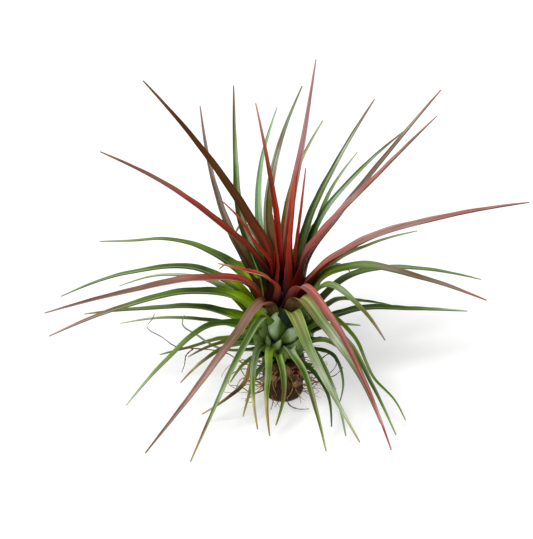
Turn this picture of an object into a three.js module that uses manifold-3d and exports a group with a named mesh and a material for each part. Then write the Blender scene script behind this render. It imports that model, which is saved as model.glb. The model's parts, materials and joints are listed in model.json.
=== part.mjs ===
// Sky plant, an air plant as picked: a rosette of long channelled leaves on a short stem,
// standing on the small flat underside of its woody root crown.
// Millimetres, +Z up, origin in the middle of the flat underside, +X to the plant's right,
// -Y towards whoever looks into the heart.

import * as THREE from 'three';
import { mergeVertices } from 'three/addons/utils/BufferGeometryUtils.js';
import Module from 'manifold-3d';

const wasm = await Module();
wasm.setup();

// Driving dimensions
const HEART_HEIGHT = 55;
const CROWN_HEIGHT = 24;
const GAP = 0.3;
const FOOT_RADIUS = 10;
const STEM_RADIUS = 14;
const SEAT_GAP = 0.9;
const BLADE_THICKNESS = 0.8;
const FOOT_THICKNESS = 1.3;
const FOOT_SHARE = 0.15;
const TIP_WIDTH = 0.9;
const FOLD_DEG = 26;
const TURN_SHARE = 0.4;
const TAPER = 0.75;
const FOOT_WIDTH = 0.65;
const FOOT_SPREAD = 3.5;
const LEAF_STATIONS = 12;
const SMALL_STATIONS = 7;
const SMALL_SINK = 0.75;
const ROUND_SIDES = 20;
const SWELLING_DEPTH = 3;
const SWELLING_SINK = 1;
const DRIED_WIDTH = 6.5;
const DRIED_DEPTH = 1.7;
const DRIED_SINK = 0.5;
const BUD_RADIUS = 3;
const ROOT_WIDTH = 1;
const WIRY_ROOTS = 14;
const ROOT_REACH = 22;
const ROOT_SEED = 7;
const ROUGHNESS = 0.7;

const COLOURS = {
  red: 0xa83428,
  deep_red: 0x7a2a22,
  bronze: 0x5a3626,
  mauve: 0x8a6a64,
  pink: 0xb4605c,
  olive: 0x59602a,
  green: 0x4f7a2e,
  pale_green: 0x83a06a,
  lime: 0x87a52c,
  dark_green: 0x38592a,
  wood: 0x7d5a3e,
};

// Each leaf: name, colour, width at its widest, compass angle round the stem, height of its base
// above or below the heart, then the points that its midrib runs through, the last one its tip.
// The points are x, y and height above the heart. Some leaves end with the degrees that they
// twist about their own length.
const LEAVES = [
  ['heart_leaf_1', 'red', 4.8, 130, 9, [[-2.8, 4, 37.5], [-7.3, 7, 71], [-13, 10, 103]]],
  ['heart_leaf_2', 'deep_red', 5.6, 72, 8.5, [[3.5, 8, 46], [10.5, 19, 83], [16, 35, 115]]],
  ['heart_leaf_3', 'red', 5, -40, 8, [[3.5, -2, 29], [5, -3, 52.5], [7, -4, 75]]],
  ['heart_leaf_4', 'red', 3.6, 25, 7, [[6.4, 3.4, 26], [9, 8, 48], [11, 12, 67.5]]],
  ['heart_leaf_5', 'red', 3.4, 169, 7.2, [[-6.2, 0.8, 20.5], [-13, -1, 32], [-22, 0, 47], [-30, 2, 55]]],
  ['heart_leaf_6', 'red', 4.4, 240, 4, [[-3.5, -6.6, 12], [-9, -6.8, 17.5], [-19, -7, 21],
    [-32, -8, 25.5]], -35],
  ['upper_leaf_1', 'bronze', 8, 143, 4, [[-8, 6.5, 21.5], [-20.5, 9, 47.5], [-43, 17, 79.5],
    [-68, 28, 107]]],
  ['upper_leaf_2', 'red', 7, 202, 3.5, [[-7.5, -2, 13.5], [-13.5, 0, 25], [-27, 3, 37.5], [-56, 8, 59.5],
    [-89, 12, 76.5]], -28],
  ['upper_leaf_3', 'olive', 7, 146, -3, [[-14, 11, 7], [-26, 22, 25], [-36.5, 38, 52], [-41.5, 50, 83.5]]],
  ['upper_leaf_4', 'olive', 6.4, 128, 1, [[-21.3, 20, 35], [-24.2, 36, 64.5], [-24.5, 48, 95.5]]],
  ['upper_leaf_5', 'pale_green', 5.4, 110, -3, [[-12, 27, 27], [-11.5, 45, 52], [-3, 58, 79]]],
  ['upper_leaf_6', 'olive', 5.8, 93, 5, [[-7.5, 17, 37.5], [-2.6, 31, 68], [9.5, 45, 96.5]]],
  ['upper_leaf_7', 'green', 4.4, 82, 1, [[0.5, 22, 29.5], [7, 38, 53], [20, 52, 74.5]]],
  ['upper_leaf_8', 'green', 6, 46, 3, [[14, 17, 39], [28.5, 32, 64], [45.5, 45, 89.5]]],
  ['upper_leaf_9', 'green', 4, 62, -4, [[15.5, 24, 24.5], [24, 43, 39], [38, 60, 53]]],
  ['upper_leaf_10', 'bronze', 7, 20, 0, [[13, 8, 20], [27.2, 13, 40], [51.9, 23, 70.2], [77.5, 35, 99]]],
  ['upper_leaf_11', 'green', 5.6, 38, -5, [[18.5, 19, 35.5], [38, 35, 54], [61.5, 52, 69]]],
  ['upper_leaf_12', 'red', 7.8, -5, 3.5, [[11, 2, 21], [23, 4, 40], [47.5, 8, 67], [74, 12, 95.5]], 6],
  ['side_leaf_1', 'deep_red', 8.4, -14, 0, [[16, -1, 14.5], [38.5, 0, 32.5], [78.5, -1, 47],
    [119.5, -2, 56]], 8],
  ['side_leaf_2', 'green', 3.8, 38, -12, [[24.5, 20, 9], [45.5, 37, 12], [70, 55, 10]]],
  ['side_leaf_3', 'green', 6.2, 18, -12, [[34, 9.6, 8.4], [53, 15.3, 9.9], [68.5, 20, 6.8], [102, 30, -5]]],
  ['side_leaf_4', 'olive', 8, -10, -7, [[21, -2, 14.8], [36, -3, 20.7], [68.5, -6, 15.7],
    [101, -8, 4.5]], 10],
  ['side_leaf_5', 'dark_green', 6.6, 5, -16, [[37.5, 5, -8.5], [65.5, 9, -10.5], [94, 14, -14.5]]],
  ['side_leaf_6', 'dark_green', 4.5, 30, -18, [[27, 13, -7.5], [39.5, 22, -13], [58, 33, -22.5]]],
  ['side_leaf_7', 'green', 4.3, 155, -9, [[-19, 9, 8], [-30, 13, 16], [-46, 19, 21.6], [-61, 24, 21.8],
    [-76, 30, 17.6], [-94, 36, 14]], -10],
  ['side_leaf_8', 'green', 5.8, 165, -14, [[-25, 5, 5], [-41, 8, 12.7], [-77.5, 16, 6.6],
    [-114, 23, -11]], -10],
  ['side_leaf_9', 'green', 4.5, 148, -18, [[-34, 18, -1], [-59, 33, -4], [-86, 48, -19]]],
  ['side_leaf_10', 'deep_red', 6.4, 190, -2, [[-19.5, -3, 12], [-39.5, -3, 14], [-79.5, -5, 7],
    [-119, -6, -4]], -15],
  ['side_leaf_11', 'lime', 6.8, 200, -8, [[-24, -6, 4.8], [-43, -9, 9.7], [-80, -17, 5.2],
    [-115, -25, -6]], -8],
  ['side_leaf_12', 'lime', 6.2, 186, -14.5, [[-39.5, 3, -6.5], [-70, 4, -7.5], [-100.5, 6, -11.5]]],
  ['side_leaf_13', 'green', 3.8, 168, -20, [[-35.5, 9, -17.5], [-59, 15, -19], [-84, 22, -26.5]]],
  ['front_leaf_1', 'green', 5.4, 212, -13, [[-37, -21, -2.9], [-58.3, -35, -15.4], [-76.5, -48, -31.5]]],
  ['front_leaf_2', 'mauve', 6.2, 232, -3, [[-9.6, -14, 6.6], [-25.2, -30, -6.3], [-45.6, -49, -26.8],
    [-66.5, -68, -46]]],
  ['front_leaf_3', 'green', 4.2, 240, -8, [[-9.5, -19, 1], [-22, -37, -11], [-33.5, -56, -29],
    [-44.5, -74, -47]]],
  ['front_leaf_4', 'pink', 4.8, -64, 1.5, [[9, -14, 15.5], [23.5, -33, 8.2], [39.1, -54, -14],
    [52, -72, -41.5]]],
  ['front_leaf_5', 'pale_green', 7.6, -63, -5, [[9, -17, 10.5], [18.6, -28, 3.7], [35.2, -42, -14.7],
    [47.5, -54, -38]]],
  ['front_leaf_6', 'pale_green', 5.8, -86, -7, [[4.2, -17.5, 2.9], [13.2, -33, -9.6], [24.2, -50, -24.2],
    [37, -66, -41]]],
  ['front_leaf_7', 'green', 4.6, -44, -14, [[18.5, -17, -4], [30.5, -27, -7], [43.5, -39, -25.5],
    [55.5, -50, -47.5]]],
  ['front_leaf_8', 'green', 3.6, -25, -12, [[21, -12.2, -0.5], [34, -22.5, -6.5], [45.5, -31, -27.5],
    [55, -37, -35.5], [60.5, -42, -44]]],
  ['front_leaf_9', 'green', 6.3, -35, -4, [[23.5, -15.5, 17], [38, -26, 10], [49.5, -38, -0.5]]],
  ['basal_leaf_1', 'green', 4.2, 253, -19, [[-6.5, -20, -17], [-7, -30, -22], [-8, -42, -32.5],
    [-6.5, -54, -45.5]]],
  ['basal_leaf_2', 'green', 4.2, 236, -19, [[-12, -19, -17], [-14.5, -29, -23], [-14.5, -38, -33.5],
    [-12.5, -46, -47]]],
  ['basal_leaf_3', 'green', 3.6, 266, -24, [[-2, -18, -21], [0, -26, -26], [0.5, -33, -34],
    [-3.5, -40, -48.5]]],
  ['basal_leaf_4', 'green', 4, -76, -20, [[4, -21, -17.5], [10, -33, -21], [16, -49, -33.5],
    [21, -62, -49]]],
  ['basal_leaf_5', 'lime', 3.6, 230, -25.5, [[-14.5, -18.5, -24], [-19, -25, -33], [-28.5, -28, -41],
    [-40.5, -30, -48.5]]],
  ['basal_leaf_6', 'green', 4.2, 204, -21, [[-29, -13, -20], [-41.5, -16, -27.5], [-51.5, -18, -37.5]]],
  ['basal_leaf_7', 'green', 4, 193, -18, [[-25.5, -7, -19], [-37.5, -8, -22.5], [-48, -8, -28.5]]],
  ['basal_leaf_8', 'green', 4.2, 178, -24, [[-30.5, 1, -23], [-47.5, 3, -29.5], [-63, 5, -35]]],
  ['basal_leaf_9', 'dark_green', 3.4, -52, -20, [[15, -20, -18], [24, -33, -29], [27.5, -41, -36],
    [31, -49, -49]]],
  ['back_leaf_1', 'green', 6, 78, -14, [[5, 28, 6], [9, 52, 2], [8, 76, -14], [7, 95, -36]]],
  ['back_leaf_2', 'green', 6, 100, -14, [[-5, 30, 4], [-11, 54, -2], [-16, 76, -18], [-20, 92, -38]]],
  ['back_leaf_3', 'green', 5.5, 90, -22, [[0, 30, -10], [1, 52, -18], [2, 70, -34], [2, 80, -50]]],
  ['back_leaf_4', 'green', 5.5, 62, -17, [[14, 26, -3], [24, 44, -6], [31, 60, -13], [36, 72, -24]]],
  ['back_leaf_5', 'green', 5.5, 118, -17, [[-14, 27, 0], [-26, 50, -6], [-34, 68, -20]]],
  ['back_leaf_6', 'olive', 6, 113, -9, [[-8, 24, 10], [-16, 48, 14], [-22, 68, 6], [-26, 84, -8]]],
  ['back_leaf_7', 'green', 6, 69, -9, [[8, 24, 12], [15, 46, 16], [20, 66, 9]]],
  ['back_leaf_8', 'green', 6, 91, -7, [[1, 24, 14], [2, 48, 22], [2, 72, 18], [1, 92, 4]]],
];

// Small leaves and threads that grow fast to the stem, in the same terms: width, compass angle,
// height of the base and the midrib's points.
const SMALL_LEAVES = [
  [2.4, 180, -1.5, [[-11, 2, 11], [-14.5, 4.2, 21], [-17, 5.5, 27]]],
  [2.5, 210, 9.5, [[-2.5, 0, 18], [-3.5, 1, 31], [-5, 2, 47]]],
  [4, -15, -16, [[26, -9, -9], [38.5, -12, -7.5]]],
  [6, -35, -20, [[22, -16, -14.4], [32.5, -20, -20]]],
  [3.5, 210, -28, [[-20, -18, -27], [-26.5, -20, -36]]],
  [3, 240, -28, [[-14.5, -23, -31.8], [-17, -28, -38.7], [-20, -33, -48]]],
  [2.2, 187, -27, [[-33, -2, -26.5], [-43, -2.5, -19], [-50.5, -1, -13], [-49.5, 0, -9]]],
  [3, -62, -27, [[13.5, -22, -26.6], [21.5, -32, -33.5], [24, -44, -46.8]]],
  [3, -30, -24, [[26, -19, -22], [30, -25, -34], [28, -28, -44]]],
];

// Swollen leaf bases that stand out of the stem where no blade leaves it: compass angle, height,
// width and length.
const SWELLINGS = [
  [259, -12.5, 6.5, 8],
  [284, -13, 8, 7],
  [334, -20, 8, 8],
  [20, -23, 8, 8],
  [130, -22, 9, 8],
];

// Dried leaf bases round the root crown: how many in a row, height above the floor, and length.
const DRIED_ROWS = [
  [9, 19, 9],
  [10, 14.5, 8],
  [9, 10, 7],
];

// The small dark red bud on the root crown, measured from the floor.
const BUD_PLACE = [6.5, -11.5, 21];

// Long roots that the rule for the short ones leaves out, as points in the leaves' terms.
const LONG_ROOTS = [
  [[-8, -4, -36], [-20, -10, -31], [-29, -11, -24], [-36, -11, -22.5], [-46.5, -11, -21.5],
    [-53.5, -12, -20], [-60, -13, -14], [-67.5, -14, -7], [-64.5, -14, -2.5], [-63.5, -14, 0]],
  [[-45, -11, -22], [-48.5, -12, -25], [-49.5, -12, -30.5], [-51, -13, -34.5]],
  [[7, -6, -35], [17, -17, -26], [24, -23, -18], [26.5, -23.5, -22.5], [23, -23, -29]],
  [[6, -7, -37], [20, -18, -33], [24, -18, -34], [30, -17, -29]],
];

const radians = THREE.MathUtils.degToRad;
const material = (colour) =>
  new THREE.MeshStandardMaterial({ color: COLOURS[colour], roughness: ROUGHNESS, metalness: 0 });

// The stem's outline, as radius and height above the heart, from its foot to the heart's dome.
const STEM_FOOT = CROWN_HEIGHT + GAP - HEART_HEIGHT;
const STEM_OUTLINE = [
  [10.5, STEM_FOOT],
  [12.5, -27],
  [STEM_RADIUS, -21],
  [STEM_RADIUS, -15],
  [12, -9],
  [9.5, -4],
  [8, 0],
  [6.5, 5],
  [4.5, 9],
  [2, 11],
  [0, 11.5],
];

// The point just clear of the stem's surface at a height and a compass angle.
function seat(angle, height) {
  const at = STEM_OUTLINE.findIndex(([, top]) => top >= height);
  const [[r0, z0], [r1, z1]] = [STEM_OUTLINE[at - 1], STEM_OUTLINE[at]];
  const radius = r0 + ((r1 - r0) * (height - z0)) / (z1 - z0);
  const slope = Math.hypot(z1 - z0, r1 - r0);
  const out = radius + (SEAT_GAP * (z1 - z0)) / slope;
  const up = height + (SEAT_GAP * (r0 - r1)) / slope;
  return new THREE.Vector3(out * Math.cos(radians(angle)), out * Math.sin(radians(angle)), up);
}

// A smooth line through points, read at a share of its length from 0 to 1.
function midrib(points) {
  const spans = points.slice(1).map((point, i) => point.distanceTo(points[i]));
  const slopes = spans.map((span, i) => points[i + 1].clone().sub(points[i]).divideScalar(span));
  const headings = points.map((point, i) => {
    if (i === 0) return slopes[0].clone();
    if (i === spans.length) return slopes[i - 1].clone();
    const before = slopes[i - 1].clone().multiplyScalar(spans[i]);
    const after = slopes[i].clone().multiplyScalar(spans[i - 1]);
    return before.add(after).divideScalar(spans[i - 1] + spans[i]);
  });
  headings[0].multiplyScalar(1.5).addScaledVector(headings[1], -0.5);
  headings[spans.length].multiplyScalar(1.5).addScaledVector(headings[spans.length - 1], -0.5);
  const total = spans.reduce((sum, span) => sum + span, 0);
  return (share) => {
    let along = share * total;
    let i = 0;
    while (i < spans.length - 1 && along > spans[i]) along -= spans[i++];
    const t = along / spans[i];
    const [t2, t3] = [t * t, t * t * t];
    return new THREE.Vector3()
      .addScaledVector(points[i], 2 * t3 - 3 * t2 + 1)
      .addScaledVector(headings[i], (t3 - 2 * t2 + t) * spans[i])
      .addScaledVector(points[i + 1], 3 * t2 - 2 * t3)
      .addScaledVector(headings[i + 1], (t3 - t2) * spans[i]);
  };
}

// A closed body from rings of points with the same count, each ring a strip that is capped flat.
function loft(rings, capTriangles) {
  const count = rings[0].length;
  const index = [];
  for (let i = 0; i < rings.length - 1; i++) {
    for (let j = 0; j < count; j++) {
      const [a, b] = [i * count + j, i * count + ((j + 1) % count)];
      const [c, d] = [a + count, b + count];
      // The under side's quads are split along the same diagonal as the upper side's.
      if (j < count / 2) index.push(a, d, b, a, c, d);
      else index.push(a, c, b, b, c, d);
    }
  }
  const last = (rings.length - 1) * count;
  for (const [a, b, c] of capTriangles) {
    index.push(a, b, c, last + a, last + c, last + b);
  }
  const geometry = new THREE.BufferGeometry();
  geometry.setAttribute('position', new THREE.Float32BufferAttribute(rings.flat(2), 3));
  geometry.setIndex(index);
  return geometry;
}

// The width of a leaf at a share of its length: a narrow triangle with a drawn-in foot.
const leafWidth = (width, share) =>
  TIP_WIDTH + (width - TIP_WIDTH) * (1 - share) ** TAPER * Math.min(1, FOOT_WIDTH + FOOT_SPREAD * share);

// The thickness of a leaf at a share of its length: a fleshy foot that thins into the blade.
const leafThickness = (share) =>
  BLADE_THICKNESS + (FOOT_THICKNESS - BLADE_THICKNESS) * Math.max(0, 1 - share / FOOT_SHARE);

// A channelled blade along a midrib: three points across its upper face, three across its under face.
function blade(points, width, angle, turn, stations) {
  const at = midrib(points);
  const side = new THREE.Vector3(-Math.sin(radians(angle)), Math.cos(radians(angle)), 0);
  const rings = [];
  for (let i = 0; i < stations; i++) {
    const share = i / (stations - 1);
    const middle = at(share);
    const ahead = at(Math.min(1, share + 0.01)).sub(at(Math.max(0, share - 0.01))).normalize();
    const across = side.clone().addScaledVector(ahead, -side.dot(ahead)).normalize();
    across.applyAxisAngle(ahead, radians(turn * Math.min(1, share / TURN_SHARE)));
    const upper = ahead.clone().cross(across);
    const half = leafWidth(width, share) / 2;
    const [reach, lift] = [half * Math.cos(radians(FOLD_DEG)), half * Math.sin(radians(FOLD_DEG))];
    const deep = leafThickness(share);
    const corner = (x, z) =>
      middle.clone().addScaledVector(across, x).addScaledVector(upper, z).toArray();
    rings.push([
      corner(-reach, lift),
      corner(0, 0),
      corner(reach, lift),
      corner(reach, lift - deep),
      corner(0, -deep),
      corner(-reach, lift - deep),
    ]);
  }
  return loft(rings, [[0, 1, 5], [1, 4, 5], [1, 2, 4], [2, 3, 4]]);
}

function leafGeometry([, , width, angle, height, through, turn = 0]) {
  const points = [seat(angle, height), ...through.map((point) => new THREE.Vector3(...point))];
  return blade(points, width, angle, turn, LEAF_STATIONS).translate(0, 0, HEART_HEIGHT);
}

// Conversions between a closed geometry and a solid that can be joined.
function toSolid(geometry) {
  const bare = geometry.clone();
  bare.deleteAttribute('normal');
  bare.deleteAttribute('uv');
  const merged = mergeVertices(bare, 1e-4);
  return new wasm.Manifold(
    new wasm.Mesh({
      numProp: 3,
      vertProperties: new Float32Array(merged.attributes.position.array),
      triVerts: new Uint32Array(merged.index.array),
    }),
  );
}

function toGeometry(solid) {
  const mesh = solid.getMesh();
  const geometry = new THREE.BufferGeometry();
  geometry.setAttribute('position', new THREE.Float32BufferAttribute(mesh.vertProperties, 3));
  geometry.setIndex([...mesh.triVerts]);
  return geometry;
}

function turned(outline) {
  const profile = outline.map(([radius, height]) => new THREE.Vector2(radius, height));
  return new THREE.LatheGeometry(profile, ROUND_SIDES).rotateX(Math.PI / 2);
}

// A square wire along points, for a root.
function wire(points) {
  const at = midrib(points.map((point) => new THREE.Vector3(...point)));
  const stations = 3 * points.length - 2;
  const half = ROOT_WIDTH / 2;
  const rings = [];
  for (let i = 0; i < stations; i++) {
    const share = i / (stations - 1);
    const ahead = at(Math.min(1, share + 0.01)).sub(at(Math.max(0, share - 0.01))).normalize();
    const across = new THREE.Vector3(ahead.y, -ahead.x, 0).normalize();
    const upper = ahead.clone().cross(across);
    const corner = (x, z) =>
      at(share).addScaledVector(across, x).addScaledVector(upper, z).toArray();
    rings.push([corner(-half, half), corner(half, half), corner(half, -half), corner(-half, -half)]);
  }
  return loft(rings, [[0, 1, 2], [0, 2, 3]]);
}

// The same stream of numbers from 0 to 1 on every run.
function chance(seed) {
  let state = seed;
  return () => {
    state = (state * 16807) % 2147483647;
    return state / 2147483647;
  };
}

// A rounded bump standing out at a compass angle, a distance from the middle and a height.
function bump(depth, width, length, angle, out, height, sides) {
  return new THREE.SphereGeometry(1, sides, sides - 2)
    .scale(depth, width / 2, length / 2)
    .translate(out, 0, height)
    .rotateZ(radians(angle));
}

// The stem with its small leaves and swollen bases sunk in.
function stemGeometry() {
  let solid = toSolid(turned([[0, STEM_FOOT], ...STEM_OUTLINE]));
  for (const [width, angle, height, through] of SMALL_LEAVES) {
    const root = seat(angle, height).multiply(new THREE.Vector3(SMALL_SINK, SMALL_SINK, 1));
    const points = [root, ...through.map((point) => new THREE.Vector3(...point))];
    solid = solid.add(toSolid(blade(points, width, angle, 0, SMALL_STATIONS)));
  }
  for (const [angle, height, width, length] of SWELLINGS) {
    const base = seat(angle, height);
    const out = Math.hypot(base.x, base.y) - SWELLING_SINK;
    const bulge = bump(SWELLING_DEPTH, width, length, angle, out, base.z, 10);
    solid = solid.add(toSolid(bulge));
  }
  return toGeometry(solid).translate(0, 0, HEART_HEIGHT);
}

// Short wiry roots round the crown, each a seeded walk outwards that stays above the floor.
function shortRoots() {
  const draw = chance(ROOT_SEED);
  return Array.from({ length: WIRY_ROOTS }, (_, n) => {
    let heading = ((n + 0.7 * draw()) * 2 * Math.PI) / WIRY_ROOTS;
    let height = 5 + 14 * draw();
    let reach = FOOT_RADIUS - 3;
    let [x, y] = [reach * Math.cos(heading), reach * Math.sin(heading)];
    const points = [[x, y, height - HEART_HEIGHT]];
    while (points.length < 6 && reach < ROOT_REACH) {
      heading += 1.5 * (draw() - 0.5);
      height = Math.min(20, Math.max(2.5, height + 7 * (draw() - 0.55)));
      const step = 4 + 2 * draw();
      x += step * Math.cos(heading);
      y += step * Math.sin(heading);
      reach = Math.hypot(x, y);
      points.push([x, y, height - HEART_HEIGHT]);
    }
    return points;
  });
}

function crownGeometry() {
  const outline = [
    [0, 0],
    [FOOT_RADIUS - 1, 0],
    [FOOT_RADIUS + 0.5, 2],
    [FOOT_RADIUS + 0.3, 6],
    [FOOT_RADIUS - 0.5, 12],
    [FOOT_RADIUS, 18],
    [FOOT_RADIUS + 1, 22],
    [FOOT_RADIUS + 0.5, CROWN_HEIGHT],
    [0, CROWN_HEIGHT],
  ];
  let solid = toSolid(turned(outline));
  DRIED_ROWS.forEach(([count, height, length], row) => {
    for (let i = 0; i < count; i++) {
      const angle = (360 * (i + 0.5 * (row % 2))) / count;
      const out = FOOT_RADIUS - DRIED_SINK;
      const base = bump(DRIED_DEPTH, DRIED_WIDTH, length, angle, out, height, 8);
      solid = solid.add(toSolid(base));
    }
  });
  const bud = new THREE.SphereGeometry(BUD_RADIUS, 10, 8).translate(...BUD_PLACE);
  solid = solid.add(toSolid(bud)).translate([0, 0, -HEART_HEIGHT]);
  for (const points of [...LONG_ROOTS, ...shortRoots()]) solid = solid.add(toSolid(wire(points)));
  return toGeometry(solid).translate(0, 0, HEART_HEIGHT);
}

const plant = new THREE.Group();

function place(name, geometry, colour) {
  const mesh = new THREE.Mesh(geometry, material(colour));
  mesh.name = name;
  plant.add(mesh);
}

place('root_crown', crownGeometry(), 'wood');
place('stem', stemGeometry(), 'green');
for (const leaf of LEAVES) place(leaf[0], leafGeometry(leaf), leaf[1]);

export default plant;
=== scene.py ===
"""Sky plant, an air plant with a rosette of long channelled leaves, standing on its root crown."""

import json
import math

import bpy
import numpy as np
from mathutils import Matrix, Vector


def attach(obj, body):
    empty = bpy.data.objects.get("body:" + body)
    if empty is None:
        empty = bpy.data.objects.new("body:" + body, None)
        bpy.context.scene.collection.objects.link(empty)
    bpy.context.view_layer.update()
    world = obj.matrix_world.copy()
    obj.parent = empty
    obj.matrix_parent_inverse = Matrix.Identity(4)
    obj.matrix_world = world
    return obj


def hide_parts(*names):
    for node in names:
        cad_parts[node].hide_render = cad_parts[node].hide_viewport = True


MM = 0.001
HEART = 55
CROWN_TOP = 24
FOOT_RADIUS = 10

# Leaves: lengths in millimetres, angles in degrees, the rest as shares
SEAT_GAP = 0.9
BLADE_AROUND = 36
BLADE_RINGS = 72
RING_BUNCHING = 1.15
TURN_SHARE = 0.4
TIP_WIDTH = 0.3
FULLEST = 1.18
TAPER = 0.74
THICKNESS = 0.9
KEEL = 0.22
FOLD = 34
FOOT_FOLD = 14
TIP_FOLD = 26
SWAY = 5
BURIED = 0.03
STEEP_BURIED = 0.07
NARROW_FOOT = (0.4, 0.06)
# Leaf margins paler, partly their own pale scales and partly painted highlight, and the channel's painted
# shade
PALE_AND_LIT_MARGIN = 0.38
CHANNEL_SHADE = 0.16

# Leaf bases: the height of their point, the share of their depth behind, how far they stand off the
# stem (less than nothing is sunk in), and how sharp the edge of their shade is
BASE_POINT = 1.25
BASE_BACK = 0.35
BASE_SUNK = -1.4
SHADE_EDGE = 2.6

# Roots, with thicknesses and reach in millimetres
ROOT_AROUND = 8
ROOT_RINGS = 30
WIRY_ROOTS = 14
WIRY_THICK = 0.48
HAIR_ROOTS = 60
ROOT_REACH = 22

# The first seed of each kind of piece
SEEDS = {"leaf": 101, "swelling": 501, "ear": 601, "sheath": 701, "dried": 801, "root": 901, "small": 3001}

# Camera: one metre from the heart, where a millimetre is two pixels; the heart's place in the picture
PHOTO_WIDTH = 533
PHOTO_HEIGHT = 539
HEART_X = 283
HEART_Y = 300
ELEVATION = 30
FOCAL = 135
SENSOR = 36

# The floor's grey, the light's colour, and how bright the floor's glow and the sky are
PALE = (0.6, 0.6, 0.6, 1)
WHITE = (1, 1, 1, 1)
STUDIO_LIGHT = 0.42

# What the studio's gloss adds to a colour, and how deep the colours are laid under it
GLOSS_LIFT = 0.009
DEPTH = 0.9

# How strong the veins of a leaf are, and how far they stand up, in metres
LEAF_VEINS = 0.45
RELIEF = 0.0002

# Colours of the leaves, as red, green and blue from 0 to 255
TINTS = {
    "ember": (44, 10, 3),
    "wine": (98, 32, 18),
    "scarlet": (160, 50, 36),
    "red": (148, 54, 40),
    "brick": (124, 56, 40),
    "garnet": (146, 66, 60),
    "maroon": (86, 44, 42),
    "rust": (158, 84, 62),
    "rose": (156, 99, 90),
    "blush": (190, 146, 140),
    "pink": (168, 98, 90),
    "plum": (158, 118, 120),
    "mauve": (150, 118, 110),
    "clay": (136, 88, 78),
    "dusk": (132, 104, 90),
    "russet": (108, 80, 68),
    "heather": (166, 128, 120),
    "lilac": (152, 128, 128),
    "umber": (66, 46, 18),
    "bronze": (80, 50, 28),
    "cocoa": (112, 88, 58),
    "taupe": (132, 118, 104),
    "olive": (96, 88, 38),
    "moss": (98, 122, 34),
    "leaf": (82, 108, 34),
    "deep": (54, 76, 20),
    "shade": (28, 42, 6),
    "fern": (114, 139, 78),
    "mint": (148, 184, 144),
    "sage": (142, 158, 122),
    "silver": (176, 186, 162),
    "frost": (190, 218, 166),
    "lime": (132, 166, 14),
    "lemon": (138, 148, 82),
    "straw": (164, 156, 104),
    "tan": (150, 120, 74),
    "bark": (92, 64, 42),
    "husk": (166, 130, 90),
    "soot": (44, 32, 28),
}
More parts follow.
